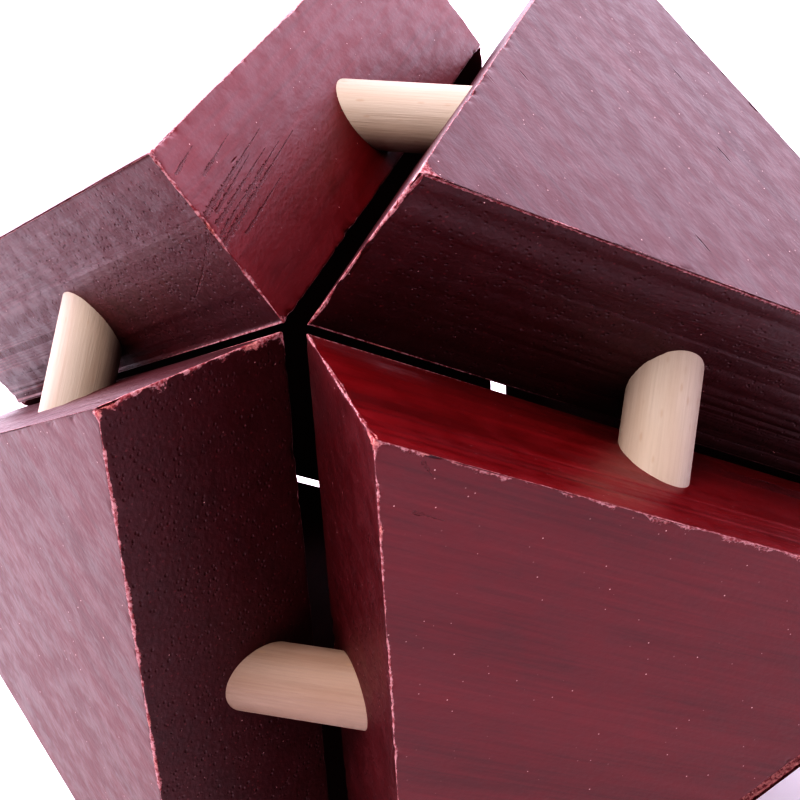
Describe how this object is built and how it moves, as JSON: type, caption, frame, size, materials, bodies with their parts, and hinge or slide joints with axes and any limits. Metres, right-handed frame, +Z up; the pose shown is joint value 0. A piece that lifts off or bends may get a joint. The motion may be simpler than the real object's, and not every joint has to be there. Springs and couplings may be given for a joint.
{
  "type": "wooden burr puzzle",
  "caption": "Wooden take-apart puzzle: triangular red-lacquered blocks pinned by pale dowels round a hollow octahedron, opening along its own axes.",
  "frame": {"origin": "centre of the footprint on the surface it stands on, midway between its two lowest edges", "axes": "+X to the right, across the plane that parts the left and right blocks; +Y to the back; +Z up. The puzzle's other two sliding directions are at 45 degrees in the YZ plane: up and back, and up and front"},
  "size_m": [0.0694, 0.0574, 0.0574],
  "materials": {
    "red_wood": "deep red stain under worn satin lacquer, fine dark grain, edges rubbed to pale pink",
    "pale_wood": "bare birch dowel, smooth, fine lengthwise grain"
  },
  "bodies": {
    "bottom_left": {"block_bottom_left": "red_wood"},
    "bottom_right": {"block_bottom_right": "red_wood", "dowel_bottom_cross": "pale_wood", "dowel_back_bottom_right": "pale_wood", "dowel_front_bottom_right": "pale_wood"},
    "back_left": {"block_back_left": "red_wood", "dowel_back_cross": "pale_wood", "dowel_back_bottom_left": "pale_wood", "dowel_top_back_left": "pale_wood"},
    "front_left": {"block_front_left": "red_wood", "dowel_front_cross": "pale_wood", "dowel_top_front_left": "pale_wood", "dowel_front_bottom_left": "pale_wood"},
    "back_right": {"block_back_right": "red_wood"},
    "front_right": {"block_front_right": "red_wood"},
    "top_left": {"block_top_left": "red_wood"},
    "top_right": {"block_top_right": "red_wood", "dowel_top_cross": "pale_wood", "dowel_top_front_right": "pale_wood", "dowel_top_back_right": "pale_wood"}
  },
  "joints": [
    {"name": "pull_right", "type": "slide", "parent": "bottom_left", "child": "bottom_right", "axis": [1, 0, 0], "range_m": [-0.0008, 0.0072]},
    {"name": "pull_back", "type": "slide", "parent": "bottom_left", "child": "back_left", "axis": [0, 0.7071, 0.7071], "range_m": [0, 0.0076]},
    {"name": "pull_front", "type": "slide", "parent": "bottom_left", "child": "front_left", "axis": [0, -0.7071, 0.7071], "range_m": [0, 0.0076]},
    {"name": "pull_back_right", "type": "slide", "parent": "bottom_right", "child": "back_right", "axis": [0, 0.7071, 0.7071], "range_m": [0, 0.0076]},
    {"name": "pull_front_right", "type": "slide", "parent": "bottom_right", "child": "front_right", "axis": [0, -0.7071, 0.7071], "range_m": [0, 0.0076]},
    {"name": "pull_top_left", "type": "slide", "parent": "back_left", "child": "top_left", "axis": [0, -0.7071, 0.7071], "range_m": [0, 0.0076]},
    {"name": "pull_top_right", "type": "slide", "parent": "back_right", "child": "top_right", "axis": [0, -0.7071, 0.7071], "range_m": [0, 0.0076]}
  ],
  "couplings": [
    {"joint": "pull_back_right", "follows": "pull_back", "ratio": 1},
    {"joint": "pull_front_right", "follows": "pull_front", "ratio": 1},
    {"joint": "pull_top_left", "follows": "pull_front", "ratio": 1},
    {"joint": "pull_top_right", "follows": "pull_front", "ratio": 1}
  ]
}
